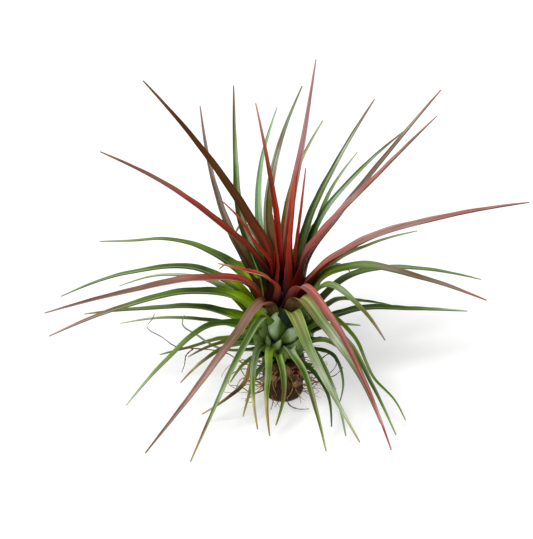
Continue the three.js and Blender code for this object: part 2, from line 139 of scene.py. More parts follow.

# Each leaf by its kind and number: width, compass angle round the stem, height of its base above the
# heart, the points of its midrib above the heart, its twist in degrees, the colours of its upper face
# from foot to tip, each with its place in hundredths of the length, and those of its under face. A wide
# foot adds how much wider it is, and the share of the length that it takes. Millimetres.
# Painted light in these tints: the near-black ember and shade stops at the feet are partly painted shade
# where the leaves crowd into the heart, the lime at the feet of the side leaves is partly painted light
# shining through them, and some pale stops are painted highlights
LEAVES = {
    "heart 1": (4.8, 130, 9, [(-2.8, 4, 37.5), (-7.3, 7, 71), (-13, 10, 103)], 0,
        "ember ember@4 wine@10 red@16 scarlet@24 scarlet@40 brick@56 rust@78 blush",
        "wine brick rose", 0.8, 0.14),
    "heart 2": (5.6, 72, 8.5, [(3.5, 8, 46), (10.5, 19, 83), (16, 35, 115)], 0,
        "ember ember@7 wine@17 brick@30 rust@42 plum@58 lilac@72 plum@84 lilac",
        "wine brick plum", 0.7, 0.14),
    "heart 3": (5, -40, 8, [(3.5, -2, 29), (5, -3, 52.5), (7, -4, 75)], 0,
        "ember ember@10 wine@16 scarlet@28 scarlet@40 rust@58 rust@72 blush@82 rust",
        "ember scarlet rust", 0.8, 0.2),
    "heart 4": (3.6, 25, 7, [(6.4, 3.4, 26), (9, 8, 48), (11, 12, 67.5)], 0,
        "ember brick@25 scarlet@50 scarlet@80 rust", "ember red rose", 0.8, 0.2),
    "heart 5": (3.4, 169, 7.2, [(-6.2, 0.8, 20.5), (-13, -1, 32), (-22, 0, 47), (-30, 2, 55)], 0,
        "wine red@12 scarlet@28 scarlet@70 rust@85 blush", "wine red scarlet", 0.8, 0.2),
    "heart 6": (4.4, 240, 4, [(-3.5, -6.6, 12), (-9, -6.8, 17.5), (-19, -7, 21), (-32, -8, 25.5)], -35,
        "ember wine@5 rust@14 rust@44 red@60 rust@78 blush",
        "ember maroon@10 brick@19 red@27 rust@36 rust@50 red@65 rust@78 blush", 0.05, 0.2),
    "upper 1": (8, 143, 4, [(-8, 6.5, 21.5), (-20.5, 9, 47.5), (-43, 17, 79.5), (-68, 28, 107)], 0,
        "ember wine@8 brick@15 brick@22 bronze@36 bronze@78 cocoa", "umber bronze wine", 0.7, 0.14),
    "upper 2": (7, 202, 3.5, [(-7.5, -2, 13.5), (-13.5, 0, 25), (-27, 3, 37.5), (-56, 8, 59.5),
        (-89, 12, 76.5)], -28,
        "ember ember@6 wine@12 brick@20 brick@40 garnet@58 clay@70 clay@87 dusk",
        "ember ember@12 wine@22 brick@40 cocoa", 0.6, 0.16),
    "upper 3": (7, 146, -3, [(-14, 11, 7), (-26, 22, 25), (-36.5, 38, 52), (-41.5, 50, 83.5)], 0,
        "bronze bronze@18 cocoa@32 taupe@50 taupe@62 lilac@74 lilac", "bronze bronze cocoa mauve", 1.5, 0.2),
    "upper 4": (6.4, 128, 1, [(-21.3, 20, 35), (-24.2, 36, 64.5), (-24.5, 48, 95.5)], 0,
        "deep deep@25 olive@38 leaf@56 fern@68 olive@82 dusk", "shade olive taupe", 0.8, 0.16),
    "upper 5": (5.4, 110, -3, [(-12, 27, 27), (-11.5, 45, 52), (-3, 58, 79)], 0,
        "leaf moss@18 fern@26 mint@38 mint@80 silver", "leaf fern mint", 0.8, 0.2),
    "upper 6": (5.8, 93, 5, [(-7.5, 17, 37.5), (-2.6, 31, 68), (9.5, 45, 96.5)], 0,
        "umber umber@18 cocoa@28 olive@42 taupe@52 silver@62 taupe@70 sage@84 taupe",
        "umber olive taupe", 0.6, 0.14),
    "upper 7": (4.4, 82, 1, [(0.5, 22, 29.5), (7, 38, 53), (20, 52, 74.5)], 0,
        "shade deep@25 leaf@46 fern@60 sage@76 sage", "deep leaf sage"),
    "upper 8": (6, 46, 3, [(14, 17, 39), (28.5, 32, 64), (45.5, 45, 89.5)], 0,
        "shade leaf@16 fern@26 fern@50 sage@62 silver@72 taupe@88 mauve", "shade deep leaf cocoa", 0.8, 0.16),
    "upper 9": (4, 62, -4, [(15.5, 24, 24.5), (24, 43, 39), (38, 60, 53)], 0,
        "shade deep@35 deep@50 fern@60 sage@76 silver", "deep leaf sage"),
    "upper 10": (7, 20, 0, [(13, 8, 20), (27.2, 13, 40), (51.9, 23, 70.2), (77.5, 35, 99)], 0,
        "umber cocoa@12 taupe@26 taupe@58 taupe@74 silver@82 mauve@90 rose",
        "bronze cocoa olive red", 0.2, 0.1),
    "upper 11": (5.6, 38, -5, [(18.5, 19, 35.5), (38, 35, 54), (61.5, 52, 69)], 0,
        "shade leaf@24 leaf@36 mint@50 sage@64 fern@72 sage@80 cocoa@88 cocoa", "shade leaf sage", 0.8, 0.2),
    "upper 12": (7.8, -5, 3.5, [(11, 2, 21), (23, 4, 40), (47.5, 8, 67), (74, 12, 95.5)], 6,
        "ember wine@8 garnet@16 garnet@26 pink@36 heather@50 pink@60 heather@75 rose@84 blush",
        "ember wine@8 maroon@16 garnet@27 dusk@42 clay@60 dusk", 0.8, 0.3),
    "side 1": (8.4, -14, 0, [(16, -1, 14.5), (38.5, 0, 32.5), (78.5, -1, 47), (119.5, -2, 56)], 8,
        "ember wine@4 brick@9 rust@16 rose@27 heather@40 mauve@58 rose@70 rose@80 mauve@90 rose",
        "wine brick@40 wine", 0.5, 0.12),
    "side 2": (3.8, 38, -12, [(24.5, 20, 9), (45.5, 37, 12), (70, 55, 10)], 0,
        "shade moss@14 lemon@26 sage@40 leaf@56 fern@66 sage", "leaf fern sage"),
    "side 3": (6.2, 18, -12, [(34, 9.6, 8.4), (53, 15.3, 9.9), (68.5, 20, 6.8), (102, 30, -5)], 0,
        "shade fern@16 fern@42 sage@54 fern@72 fern@90 straw", "deep leaf fern"),
    "side 4": (8, -10, -7, [(21, -2, 14.8), (36, -3, 20.7), (68.5, -6, 15.7), (101, -8, 4.5)], 10,
        "moss moss@15 moss@24 leaf@32 fern@42 taupe@54 cocoa@66 taupe@80 rose@90 scarlet",
        "moss olive mauve", 0.6, 0.14),
    "side 5": (6.6, 5, -16, [(37.5, 5, -8.5), (65.5, 9, -10.5), (94, 14, -14.5)], 0,
        "shade deep@25 deep@42 leaf@60 fern@76 silver", "shade deep leaf"),
    "side 6": (4.5, 30, -18, [(27, 13, -7.5), (39.5, 22, -13), (58, 33, -22.5)], 0,
        "leaf fern@20 fern@35 leaf@50 leaf@60 deep@72 deep@82 leaf", "shade deep leaf"),
    "side 7": (4.3, 155, -9, [(-19, 9, 8), (-30, 13, 16), (-46, 19, 21.6), (-61, 24, 21.8),
        (-76, 30, 17.6), (-94, 36, 14)], -10,
        "lime lime@18 moss@24 deep@31 leaf@40 leaf@50 leaf@62 fern@78 sage", "lime leaf moss", 2.4, 0.3),
    "side 8": (5.8, 165, -14, [(-25, 5, 5), (-41, 8, 12.7), (-77.5, 16, 6.6), (-114, 23, -11)], -10,
        "lime lime@20 moss@25 deep@32 deep@42 leaf@56 fern@76 sage", "lime deep leaf", 1.2, 0.2),
    "side 9": (4.5, 148, -18, [(-34, 18, -1), (-59, 33, -4), (-86, 48, -19)], 0,
        "lime lime@20 moss@26 sage@34 leaf@45 silver@60 silver", "lime leaf sage", 1.6, 0.25),
    "side 10": (6.4, 190, -2, [(-19.5, -3, 12), (-39.5, -3, 14), (-79.5, -5, 7), (-119, -6, -4)], -15,
        "ember brick@4 rust@11 red@18 brick@28 clay@40 russet@56 russet@82 mauve",
        "wine brick plum", 0.4, 0.14),
    "side 11": (6.8, 200, -8, [(-24, -6, 4.8), (-43, -9, 9.7), (-80, -17, 5.2), (-115, -25, -6)], -8,
        "lime lime@14 leaf@20 deep@27 deep@36 leaf@48 leaf@58 olive@68 dusk@78 blush",
        "lime leaf cocoa", 0.9, 0.2),
    "side 12": (6.2, 186, -14.5, [(-39.5, 3, -6.5), (-70, 4, -7.5), (-100.5, 6, -11.5)], 0,
        "lime lime@14 leaf@20 deep@28 leaf@40 fern@55 fern@70 olive@88 straw", "lime deep leaf", 0.9, 0.2),
    "side 13": (3.8, 168, -20, [(-35.5, 9, -17.5), (-59, 15, -19), (-84, 22, -26.5)], 0,
        "lime moss@25 leaf@40 fern@50 sage@64 silver", "lime leaf straw", 1.0, 0.2),
    "front 1": (5.4, 212, -13, [(-37, -21, -2.9), (-58.3, -35, -15.4), (-76.5, -48, -31.5)], 0,
        "leaf deep@18 deep@34 leaf@48 moss@60 fern@78 silver", "leaf leaf fern", 0.8, 0.2),
    "front 2": (6.2, 232, -3, [(-9.6, -14, 6.6), (-25.2, -30, -6.3), (-45.6, -49, -26.8),
        (-66.5, -68, -46)], 0,
        "umber cocoa@8 clay@13 dusk@24 cocoa@32 dusk@40 heather@52 heather@62 mauve@72 mauve@82 cocoa",
        "olive olive@4 umber@7 rust@11 cocoa@30 cocoa", 0.5, 0.1),
    "front 3": (4.2, 240, -8, [(-9.5, -19, 1), (-22, -37, -11), (-33.5, -56, -29),
        (-44.5, -74, -47)], 0,
        "moss fern@10 leaf@24 leaf@38 fern@52 sage@62 fern@70 cocoa@80 tan@90 tan", "leaf deep moss"),
    # Front 4's blush at 86 hundredths is a painted highlight on the kink near its tip
    "front 4": (4.8, -64, 1.5, [(9, -14, 15.5), (23.5, -33, 8.2), (39.1, -54, -14),
        (52, -72, -41.5)], 0,
        "wine garnet@7 heather@12 pink@19 pink@30 rose@38 clay@50 clay@77 blush@86 garnet@91 pink",
        "ember maroon@5 garnet@11 garnet@28 pink", 0.5, 0.25),
    "front 5": (7.6, -63, -5, [(9, -17, 10.5), (18.6, -28, 3.7), (35.2, -42, -14.7),
        (47.5, -54, -38)], 0,
        "umber taupe@9 tan@14 straw@19 lemon@27 fern@37 silver@50 sage@60 taupe@70 taupe@82 mauve",
        "shade umber@5 cocoa@11 bronze@17 olive@27 leaf", 0.3, 0.2),
    "front 6": (5.8, -86, -7, [(4.2, -17.5, 2.9), (13.2, -33, -9.6), (24.2, -50, -24.2),
        (37, -66, -41)], 0,
        "fern moss@8 lemon@16 lemon@24 fern@34 sage@44 silver@58 sage@70 silver@84 tan",
        "shade shade@8 deep@16 leaf@26 sage", 0.6, 0.3),
    "front 7": (4.6, -44, -14, [(18.5, -17, -4), (30.5, -27, -7), (43.5, -39, -25.5),
        (55.5, -50, -47.5)], 0,
        "deep leaf@12 fern@25 leaf@45 deep@68 leaf@80 fern@90 sage", "deep leaf fern", 0.8, 0.16),
    "front 8": (3.6, -25, -12, [(21, -12.2, -0.5), (34, -22.5, -6.5), (45.5, -31, -27.5),
        (55, -37, -35.5), (60.5, -42, -44)], 0,
        "deep deep@20 leaf@32 leaf@50 fern@60 leaf@70 leaf@85 fern", "deep leaf moss"),
    "front 9": (6.3, -35, -4, [(23.5, -15.5, 17), (38, -26, 10), (49.5, -38, -0.5)], 0,
        "moss moss@15 fern@34 sage@50 fern@60 olive@70 olive@82 plum", "leaf fern olive", 0.4, 0.45),
    "basal 1": (4.2, 253, -19, [(-6.5, -20, -17), (-7, -30, -22), (-8, -42, -32.5),
        (-6.5, -54, -45.5)], 0,
        "mint moss@8 lime@20 moss@34 fern@44 moss@54 straw@68 tan@82 tan", "sage leaf moss", 0.9, 0.07),
    "basal 2": (4.2, 236, -19, [(-12, -19, -17), (-14.5, -29, -23), (-14.5, -38, -33.5),
        (-12.5, -46, -47)], 0,
        "fern moss@10 fern@20 fern@30 sage@40 moss@50 moss@62 straw@74 tan", "deep leaf moss", 1.0, 0.09),
    "basal 3": (3.6, 266, -24, [(-2, -18, -21), (0, -26, -26), (0.5, -33, -34), (-3.5, -40, -48.5)], 0,
        "sage moss@10 moss@24 leaf@42 olive@60 moss@84 tan", "deep deep leaf"),
    "basal 4": (4, -76, -20, [(4, -21, -17.5), (10, -33, -21), (16, -49, -33.5), (21, -62, -49)], 0,
        "mint sage@10 fern@20 leaf@32 leaf@42 olive@60 moss@82 straw", "deep leaf moss", 0.9, 0.08),
    "basal 5": (3.6, 230, -25.5, [(-14.5, -18.5, -24), (-19, -25, -33), (-28.5, -28, -41),
        (-40.5, -30, -48.5)], 0,
        "shade leaf@18 tan@32 tan@42 olive@50 umber@60 cocoa@72 straw@90 tan", "fern moss straw"),
    "basal 6": (4.2, 204, -21, [(-29, -13, -20), (-41.5, -16, -27.5), (-51.5, -18, -37.5)], 0,
        "moss fern@16 moss@34 olive@55 straw@76 tan", "leaf moss tan", 0.9, 0.25),
    "basal 7": (4, 193, -18, [(-25.5, -7, -19), (-37.5, -8, -22.5), (-48, -8, -28.5)], 0,
        "moss fern@16 moss@30 olive@54 olive@76 straw", "leaf deep moss", 0.9, 0.25),
    "basal 8": (4.2, 178, -24, [(-30.5, 1, -23), (-47.5, 3, -29.5), (-63, 5, -35)], 0,
        "moss moss@30 moss@54 olive@72 fern", "leaf leaf moss"),
    "basal 9": (3.4, -52, -20, [(15, -20, -18), (24, -33, -29), (27.5, -41, -36), (31, -49, -49)], 0,
        "deep leaf@25 fern@48 silver@60 sage@76 sage", "leaf deep shade"),
    "back 1": (6, 78, -14, [(5, 28, 6), (9, 52, 2), (8, 76, -14), (7, 95, -36)], 0,
        "deep leaf@25 fern@60 leaf@80 straw", "deep leaf fern"),
    "back 2": (6, 100, -14, [(-5, 30, 4), (-11, 54, -2), (-16, 76, -18), (-20, 92, -38)], 0,
        "deep leaf@25 fern@60 moss@80 sage", "deep leaf fern"),
    "back 3": (5.5, 90, -22, [(0, 30, -10), (1, 52, -18), (2, 70, -34), (2, 80, -50)], 0,
        "leaf fern@25 leaf@60 moss@80 straw", "deep leaf moss"),
    "back 4": (5.5, 62, -17, [(14, 26, -3), (24, 44, -6), (31, 60, -13), (36, 72, -24)], 0,
        "deep leaf@25 leaf@60 sage", "deep leaf fern"),
    "back 5": (5.5, 118, -17, [(-14, 27, 0), (-26, 50, -6), (-34, 68, -20)], 0,
        "lime leaf@25 fern@60 sage", "leaf leaf fern"),
    "back 6": (6, 113, -9, [(-8, 24, 10), (-16, 48, 14), (-22, 68, 6), (-26, 84, -8)], 0,
        "moss olive@25 sage@60 taupe@80 rose", "moss olive taupe"),
    "back 7": (6, 69, -9, [(8, 24, 12), (15, 46, 16), (20, 66, 9)], 0,
        "deep leaf@25 fern@60 sage", "deep leaf fern"),
    "back 8": (6, 91, -7, [(1, 24, 14), (2, 48, 22), (2, 72, 18), (1, 92, 4)], 0,
        "deep leaf@25 moss@60 fern@80 straw", "deep leaf moss"),
}

# Stripes along a leaf's upper face, partly the leaf's own bands and partly painted light: dark ones paint
# the shade on one wall of the channel, pale ones painted highlights and sheen along a margin or wall.
# Middle and half width of the stripe, from -1 at one margin to 1 at the other, its tint, and how
# strongly it covers
STRIPES_AND_PAINTED_LIGHT = {
    "heart 2": [(-0.35, 0.14, "brick", 0.7), (0.3, 0.12, "brick", 0.6), (0.75, 0.14, "blush", 0.4)],
    "heart 6": [(0.85, 0.14, "blush", 0.8)],
    "upper 1": [(-0.8, 0.2, "bronze", 0.6), (0.2, 0.2, "cocoa", 0.35)],
    "upper 3": [(0.5, 0.14, "silver", 0.25), (-0.1, 0.14, "umber", 0.4)],
    "upper 4": [(0.6, 0.3, "deep", 0.5), (-0.6, 0.25, "silver", 0.4)],
    "upper 5": [(0.2, 0.16, "leaf", 0.6), (-0.7, 0.2, "fern", 0.5), (0.8, 0.16, "leaf", 0.5)],
    "upper 6": [(0.8, 0.18, "silver", 0.7), (0.35, 0.18, "umber", 0.6), (-0.7, 0.2, "deep", 0.5)],
    "upper 7": [(0.5, 0.3, "deep", 0.6)],
    "upper 8": [(0.75, 0.3, "shade", 0.8), (-0.1, 0.2, "sage", 0.4), (-0.7, 0.2, "deep", 0.7)],
    "upper 9": [(0.6, 0.3, "deep", 0.6)],
    "upper 10": [(0.75, 0.1, "umber", 0.9), (0.2, 0.1, "umber", 0.8), (-0.4, 0.12, "silver", 0.4),
        (-0.85, 0.12, "umber", 0.7)],
    "upper 11": [(0.75, 0.3, "shade", 0.8), (-0.2, 0.25, "sage", 0.4)],
    "upper 12": [(0.75, 0.2, "blush", 0.3), (-0.92, 0.12, "tan", 0.8)],
    "side 1": [(0.8, 0.14, "blush", 0.3), (-0.88, 0.14, "blush", 0.7)],
    "side 3": [(0, 0.16, "silver", 0.35), (-0.8, 0.2, "deep", 0.5)],
    "side 4": [(0.85, 0.14, "leaf", 0.5), (-0.85, 0.14, "deep", 0.6)],
    "side 5": [(0.05, 0.16, "silver", 0.3), (-0.7, 0.25, "shade", 0.5)],
    "side 7": [(0, 0.2, "sage", 0.5)],
    "side 8": [(0, 0.2, "silver", 0.55), (0.85, 0.2, "deep", 0.5)],
    "side 10": [(0.86, 0.16, "blush", 0.7), (0.1, 0.16, "blush", 0.2)],
    "side 11": [(0, 0.18, "silver", 0.5), (0.85, 0.16, "deep", 0.5)],
    "side 12": [(0, 0.18, "silver", 0.5), (0.8, 0.2, "deep", 0.5)],
    "front 1": [(0, 0.2, "sage", 0.4)],
    "front 2": [(-0.75, 0.35, "bronze", 0.6), (0.1, 0.16, "blush", 0.25), (0.9, 0.1, "cocoa", 0.5)],
    "front 3": [(-0.6, 0.35, "shade", 0.6), (0.6, 0.3, "sage", 0.5)],
    "front 4": [(-0.75, 0.3, "bronze", 0.45), (0.9, 0.12, "wine", 0.4)],
    "front 5": [(-0.85, 0.2, "cocoa", 0.7), (0.1, 0.16, "olive", 0.25), (0.8, 0.16, "leaf", 0.4)],
    "front 6": [(-0.8, 0.25, "leaf", 0.4), (0, 0.25, "cocoa", 0.3), (0.8, 0.25, "leaf", 0.4)],
    "front 7": [(-0.7, 0.25, "deep", 0.5), (0.6, 0.2, "sage", 0.4)],
    "front 9": [(0.8, 0.2, "moss", 0.5), (-0.2, 0.14, "silver", 0.3)],
    "basal 1": [(0.6, 0.4, "deep", 0.6), (-0.5, 0.16, "silver", 0.35)],
    "basal 2": [(0.6, 0.4, "shade", 0.2), (-0.6, 0.2, "silver", 0.35)],
    "basal 3": [(-0.6, 0.3, "shade", 0.5), (0.6, 0.2, "sage", 0.3)],
    "basal 4": [(-0.6, 0.4, "shade", 0.2), (0.7, 0.2, "silver", 0.35)],
}

# Small leaves that grow fast to the stem, in the same form
SMALL_LEAVES = [
    (2.4, 180, -1.5, [(-11, 2, 11), (-14.5, 4.2, 21), (-17, 5.5, 27)], 0, "leaf fern sage", "moss fern"),
    (2.5, 210, 9.5, [(-2.5, 0, 18), (-3.5, 1, 31), (-5, 2, 47)], 0, "ember rust rose", "wine red"),
    (4, -15, -16, [(26, -9, -9), (38.5, -12, -7.5)], 0, "leaf deep sage", "deep leaf"),
    (6, -35, -20, [(22, -16, -14.4), (32.5, -20, -20)], 0, "fern fern leaf", "leaf deep"),
    (3.5, 210, -28, [(-20, -18, -27), (-26.5, -20, -36)], 0, "fern moss tan", "leaf moss"),
    (3, 240, -28, [(-14.5, -23, -31.8), (-17, -28, -38.7), (-20, -33, -48)], 0,
        "sage moss straw", "leaf moss"),
    (2.2, 187, -27, [(-33, -2, -26.5), (-43, -2.5, -19), (-50.5, -1, -13), (-49.5, 0, -9)], 0,
        "sage sage silver", "sage sage"),
    (3, -62, -27, [(13.5, -22, -26.6), (21.5, -32, -33.5), (24, -44, -46.8)], 0,
        "deep deep leaf", "deep shade"),
    (3, -30, -24, [(26, -19, -22), (30, -25, -34), (28, -28, -44)], 0, "deep deep sage", "shade leaf"),
]

# The stem's outline, as radius and height above the heart
STEM_OUTLINE = [
    (10.5, CROWN_TOP + 0.3 - HEART),
    (12.5, -27),
    (14, -21),
    (14, -15),
    (12, -9),
    (9.5, -4),
    (8, 0),
    (6.5, 5),
    (4.5, 9),
    (2, 11),
    (0.3, 11.5),
]

# The root crown's outline, as radius and height above the floor
CROWN_OUTLINE = [
    (FOOT_RADIUS - 1.2, 0),
    (FOOT_RADIUS + 0.2, 1.8),
    (FOOT_RADIUS, 6),
    (FOOT_RADIUS - 1, 12),
    (FOOT_RADIUS - 0.5, 18),
    (FOOT_RADIUS + 0.4, 22),
    (FOOT_RADIUS, CROWN_TOP),
]

# Swollen leaf bases in front: compass angle, height, width, length, thickness, tilt in degrees, tints
# from the narrow foot up. Their dark feet and the near-black swelling behind the first are painted shade,
# and the first's pale frost is partly a painted highlight on its lit side
SWELLINGS = [
    (256, -9.6, 9, 16, 4.4, 2, "deep fern@12 frost@30 frost"),
    (279, -13.5, 6.6, 14, 3.8, 66, "deep leaf@20 fern@40 sage@60 silver"),
    (230, -13, 7.4, 14, 3.4, -40, "shade moss@30 fern@60 fern"),
    (284, -6.5, 7, 10, 1.4, 6, "shade shade deep"),
    (318, -5, 9, 12, 4.6, 30, "shade leaf sage"),
    (300, -18, 6, 17, 4.2, 78, "deep fern@50 sage mint"),
    (250, -22, 8, 9, 3, -20, "deep moss fern"),
    (272, -23, 8, 9, 3, 15, "deep fern moss"),
    (298, -21, 8, 10, 3, 35, "deep leaf fern"),
    (226, -20, 5, 14, 4.6, -64, "moss fern sage"),
    (216, -16, 4.6, 14, 4.6, -70, "moss fern sage"),
    (325, -12, 8, 13, 3, 50, "shade leaf leaf"),
]

# How far the right side of the first swellings turns into shade, or the left side where it is negative
SWELLING_SHADES = (1, -0.9)
OTHER_SHADE = 0.35

# The two ears of the lowest front leaf, in the same form, and how far they stand off the stem
EARS = [
    (245, -15.4, 3, 7, 1.4, -14, "leaf fern sage"),
    (261, -16.4, 3.4, 7, 1.4, 28, "leaf fern sage"),
]
EAR_GAP = 2.4

# Dried leaf bases round the root crown: how many in a row, height above the floor, and length
DRIED_ROWS = [(9, 19, 9), (10, 14.5, 8), (9, 10, 7)]
DRIED_WIDTH = 6.2
DRIED_THICK = 2.2

# The dark red bud beside the stem's foot: its middle, from the floor, its radius and its scales
BUD_PLACE = (6.5, -11.5, 21.5)
BUD_RADIUS = 3
BUD_SCALES = 14
BUD_RING = 5

# Long roots, as points above the heart, with their radius and tint
LONG_ROOTS = [
    ([(-8, -4, -36), (-20, -10, -31), (-29, -11, -24), (-36, -11, -22.5), (-46.5, -11, -21.5),
        (-53.5, -12, -20), (-60, -13, -14), (-67.5, -14, -7), (-64.5, -14, -2.5), (-63.5, -14, 0)],
        0.42, "husk bark bark"),
    ([(-45, -11, -22), (-48.5, -12, -25), (-49.5, -12, -30.5), (-51, -13, -34.5)], 0.36, "bark soot bark"),
    ([(7, -6, -35), (17, -17, -26), (24, -23, -18), (26.5, -23.5, -22.5), (23, -23, -29)], 0.4,
        "bark soot soot"),
    ([(6, -7, -37), (20, -18, -33), (24, -18, -34), (30, -17, -29)], 0.42, "bark soot soot"),
    ([(-6, -9, -34), (-13, -15, -33), (-20, -17, -30), (-26, -18, -33), (-27, -19, -38), (-23, -20, -40)],
        0.34, "tan straw husk"),
    ([(-5, -10, -36), (-11, -17, -39), (-18, -19, -38), (-24, -20, -42), (-30, -21, -41)], 0.3,
        "husk tan tan"),
    ([(-3, -11, -35), (-8, -18, -38), (-15, -21, -43), (-19, -20, -47), (-14, -19, -49)], 0.32,
        "tan husk husk"),
    ([(-7, -8, -32), (-15, -12, -28), (-22, -14, -27), (-28, -14, -31), (-31, -15, -36)], 0.3,
        "straw tan husk"),
    ([(2, -11, -36), (5, -18, -40), (2, -22, -44), (-3, -22, -46)], 0.3, "tan husk bark"),
    ([(8, -9, -35), (15, -14, -39), (21, -17, -38), (27, -18, -41)], 0.3, "tan husk husk"),
]


def linear(tint):
    """A tint's colour in linear light, less the share that the studio's own gloss adds."""
    value = np.array(TINTS[tint]) / 255
    value = np.where(value <= 0.04045, value / 12.92, ((value + 0.055) / 1.055) ** 2.4)
    return np.maximum(value * DEPTH - GLOSS_LIFT, 0.0015)


def colours_along(words, share):
    """The colours at shares of a length, from words such as 'ember scarlet@22 rose'."""
    parts = [word.split("@") for word in words.split()]
    last = len(parts) - 1
    places = [int(part[1]) / 100 if len(part) > 1 else i / last for i, part in enumerate(parts)]
    stops = np.array([linear(part[0]) for part in parts])
    return np.stack([np.interp(share, places, stops[:, i]) for i in range(3)], 1)


def chance(seed):
    """The same stream of numbers from 0 to 1 on every run."""
    state = seed
    while True:
        state = (state * 16807) % 2147483647
        yield state / 2147483647


def deselect():
    if bpy.context.object and bpy.context.object.mode != "OBJECT":
        bpy.ops.object.mode_set(mode="OBJECT")
    bpy.ops.object.select_all(action="DESELECT")


def just_made(name):
    """The object that was just made, under its name."""
    bpy.context.object.name = name
    return bpy.context.object


def coordinates(mesh):
    """A mesh's vertices as an array."""
    values = np.empty(len(mesh.vertices) * 3, np.float32)
    mesh.vertices.foreach_get("co", values)
    return values.reshape(-1, 3).astype(float)


def place_vertices(mesh, points):
    mesh.vertices.foreach_set("co", np.asarray(points, np.float32).ravel())
    mesh.update()


def write_attribute(mesh, name, kind, values):
    """Stores one value for each vertex under a name that the materials read."""
    layer = mesh.attributes.get(name) or mesh.attributes.new(name, kind, "POINT")
    key = "color" if kind == "FLOAT_COLOR" else "vector"
    layer.data.foreach_set(key, np.asarray(values, np.float32).ravel())


def paint(mesh, colours):
    """Stores one colour for each vertex."""
    write_attribute(mesh, "tint", "FLOAT_COLOR", np.hstack([colours, np.ones((len(colours), 1))]))


def set_flow(mesh, across, along, depth):
    """Stores where each vertex lies across, along and through its part, for the veins."""
    write_attribute(mesh, "flow", "FLOAT_VECTOR", np.stack([across, along, depth], 1))


def end_modelling():
    """Turns all faces outwards, leaves edit mode and shades the object smooth."""
    bpy.ops.mesh.select_all(action="SELECT")
    bpy.ops.mesh.normals_make_consistent(inside=False)
    bpy.ops.object.mode_set(mode="OBJECT")
    bpy.ops.object.shade_smooth()


def straight_tube(name, around, rings):
    """A closed straight tube one unit long on the Y axis, from which blades and roots are bent."""
    deselect()
    bpy.ops.mesh.primitive_circle_add(
        vertices=around, radius=1, fill_type="NGON", rotation=(math.radians(90), 0, 0)
    )
    tube = just_made(name)
    bpy.ops.object.mode_set(mode="EDIT")
    bpy.ops.mesh.select_all(action="SELECT")
    for i in range(1, rings):
        step = (i / (rings - 1)) ** RING_BUNCHING - ((i - 1) / (rings - 1)) ** RING_BUNCHING
        bpy.ops.mesh.extrude_region_move(TRANSFORM_OT_translate={"value": (0, step, 0)})
    end_modelling()
    bpy.ops.object.transform_apply(location=True, rotation=True, scale=True)
    return tube


def add_leaf_map(tube):
    """Unrolls a tube onto a UV map: the upper face on the left half, the under face on the right."""
    mesh = tube.data
    points = coordinates(mesh)
    layer = mesh.uv_layers.new(name="unrolled")
    for face in mesh.polygons:
        below = 0.5 if face.center.z < 0 else 0
        for corner in face.loop_indices:
            x, y, _ = points[mesh.loops[corner].vertex_index]
            layer.data[corner].uv = (below + (x + 1) / 4, y)


def copy_of(model, name):
    """A copy with its own mesh."""
    twin = model.copy()
    twin.data = model.data.copy()
    twin.name = name
    twin.data.name = name
    bpy.context.collection.objects.link(twin)
    return twin


def seat(angle, height, outline=STEM_OUTLINE):
    """The point just clear of the stem's surface at a height and a compass angle."""
    at = next(i for i, (_, top) in enumerate(outline) if i and top >= height)
    (r0, z0), (r1, z1) = outline[at - 1], outline[at]
    radius = r0 + (r1 - r0) * (height - z0) / (z1 - z0)
    slope = math.hypot(z1 - z0, r1 - r0)
    out = radius + SEAT_GAP * (z1 - z0) / slope
    up = height + SEAT_GAP * (r0 - r1) / slope
    return (out * math.cos(math.radians(angle)), out * math.sin(math.radians(angle)), up)


def midrib(points, shares):
    """A smooth line through points, read at shares of its length, and its headings there."""
    points = np.array(points, float)
    spans = np.linalg.norm(np.diff(points, axis=0), axis=1)
    slopes = np.diff(points, axis=0) / spans[:, None]
    heading = np.empty_like(points)
    heading[0], heading[-1] = slopes[0], slopes[-1]
    before, after = spans[:-1, None], spans[1:, None]
    heading[1:-1] = (slopes[:-1] * after + slopes[1:] * before) / (before + after)
    first, last = heading[1].copy(), heading[-2].copy()
    heading[0] = 1.5 * heading[0] - 0.5 * first
    heading[-1] = 1.5 * heading[-1] - 0.5 * last
    total = spans.sum()
    starts = np.concatenate([[0], np.cumsum(spans)])
    along = np.clip(shares, 0, 1) * total
    i = np.clip(np.searchsorted(starts, along, side="right") - 1, 0, len(spans) - 1)
    t = ((along - starts[i]) / spans[i])[:, None]
    p, q = points[i], points[i + 1]
    m, n = heading[i] * spans[i][:, None], heading[i + 1] * spans[i][:, None]
    line = (2 * t**3 - 3 * t**2 + 1) * p + (t**3 - 2 * t**2 + t) * m
    line += (3 * t**2 - 2 * t**3) * q + (t**3 - t**2) * n
    ahead = (6 * t**2 - 6 * t) * (p - q) + (3 * t**2 - 4 * t + 1) * m + (3 * t**2 - 2 * t) * n
    ahead /= np.linalg.norm(ahead, axis=1)[:, None]
    line += np.minimum(shares, 0)[:, None] * total * ahead
    return line, ahead, total


def leaf_width(share, flare, reach):
    """The width of a leaf along its length, as a part of its full width: its foot clasps the stem."""
    taper = (1 - np.clip(share, 0, 1)) ** TAPER
    return FULLEST * taper * (1 + flare * np.exp(-((share / reach) ** 2)))


